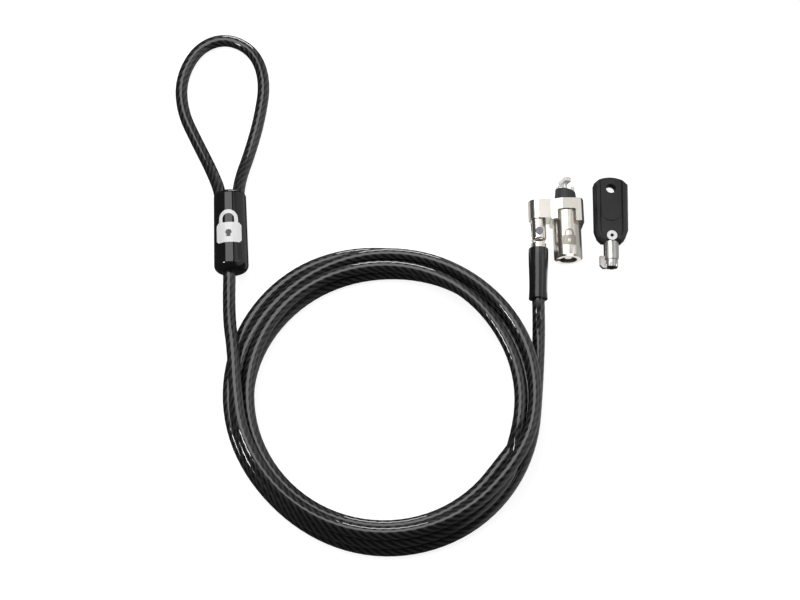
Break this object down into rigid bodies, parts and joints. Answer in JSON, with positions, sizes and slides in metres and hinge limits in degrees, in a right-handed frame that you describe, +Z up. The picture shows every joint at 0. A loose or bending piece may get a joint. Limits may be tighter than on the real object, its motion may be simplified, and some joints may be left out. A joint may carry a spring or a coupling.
{
  "type": "laptop cable lock",
  "caption": "Laptop cable lock: coiled jacketed steel cable with an eye loop, swivelling barrel lock head with locking T-bar, and its tubular key.",
  "frame": {"origin": "on the table under the middle of the box round the lock head and its key", "axes": "+Z up from the table, +Y along the lock barrel towards its nose, +X from the cable's fork across the lock head towards the key"},
  "size_m": [0.1777, 0.2082, 0.013],
  "materials": {
    "black_cable": "clear black jacket over steel strands, glossy",
    "black_mould": "glossy moulded black plastic",
    "shrink": "semi-gloss black shrink tube",
    "crimp_metal": "swaged aluminium",
    "satin_nickel": "satin nickel, fine grain",
    "bright_steel": "polished hardened steel",
    "spring_steel": "spring steel",
    "brass_pins": "turned brass",
    "dark_rubber": "matt dark grey rubber",
    "key_plastic": "satin moulded black plastic"
  },
  "bodies": {
    "cable": {"cable_coil": "black_cable", "lock_lead": "black_cable", "loop_lead": "black_cable", "cable_eye": "black_cable", "loop_sleeve": "black_mould", "loop_ferrule": "crimp_metal", "cable_boot": "shrink", "cable_terminal": "satin_nickel"},
    "fork": {"fork": "satin_nickel", "pivot_rivet": "bright_steel", "stem_ring": "spring_steel"},
    "arm": {"swivel_arm": "satin_nickel"},
    "barrel": {"lock_barrel": "satin_nickel", "barrel_ring": "spring_steel", "pin_housing": "brass_pins", "pin_springs": "spring_steel", "nose_plate": "satin_nickel", "nose_pins": "bright_steel", "rubber_pad": "dark_rubber"},
    "driver_pins": {"driver_pins": "bright_steel"},
    "core": {"lock_core": "satin_nickel", "t_bar": "bright_steel", "core_clip": "spring_steel"},
    "key_pins": {"key_pins": "brass_pins"},
    "key": {"key_head": "key_plastic", "key_tube": "bright_steel", "key_rivet": "bright_steel"}
  },
  "joints": [
    {"name": "cable_pivot", "type": "hinge", "parent": "cable", "child": "fork", "pos_m": [-0.0162, -0.0058, 0.0065], "axis": [0, 0, 1], "range_deg": [-10.5, 87.5]},
    {"name": "fork_swivel", "type": "hinge", "parent": "fork", "child": "arm", "pos_m": [-0.0162, 0, 0.0065], "axis": [0, 1, 0], "range_deg": [-90, 90]},
    {"name": "collar_swivel", "type": "hinge", "parent": "arm", "child": "barrel", "pos_m": [-0.0054, 0, 0.0065], "axis": [0, 1, 0], "continuous": true},
    {"name": "key_turn", "type": "hinge", "parent": "barrel", "child": "core", "pos_m": [-0.0054, 0, 0.0065], "axis": [0, 1, 0], "range_deg": [0, 73]},
    {"name": "key_pin_slide", "type": "slide", "parent": "core", "child": "key_pins", "axis": [0, 1, 0], "range_m": [-0.001, 0]},
    {"name": "driver_pin_slide", "type": "slide", "parent": "barrel", "child": "driver_pins", "axis": [0, 1, 0], "range_m": [-0.001, 0]},
    {"name": "key_lift", "type": "slide", "parent": "cable", "child": "key", "axis": [0, 0, 1], "range_m": [0, 0.03]}
  ],
  "couplings": [
    {"joint": "driver_pin_slide", "follows": "key_pin_slide", "ratio": 1}
  ]
}
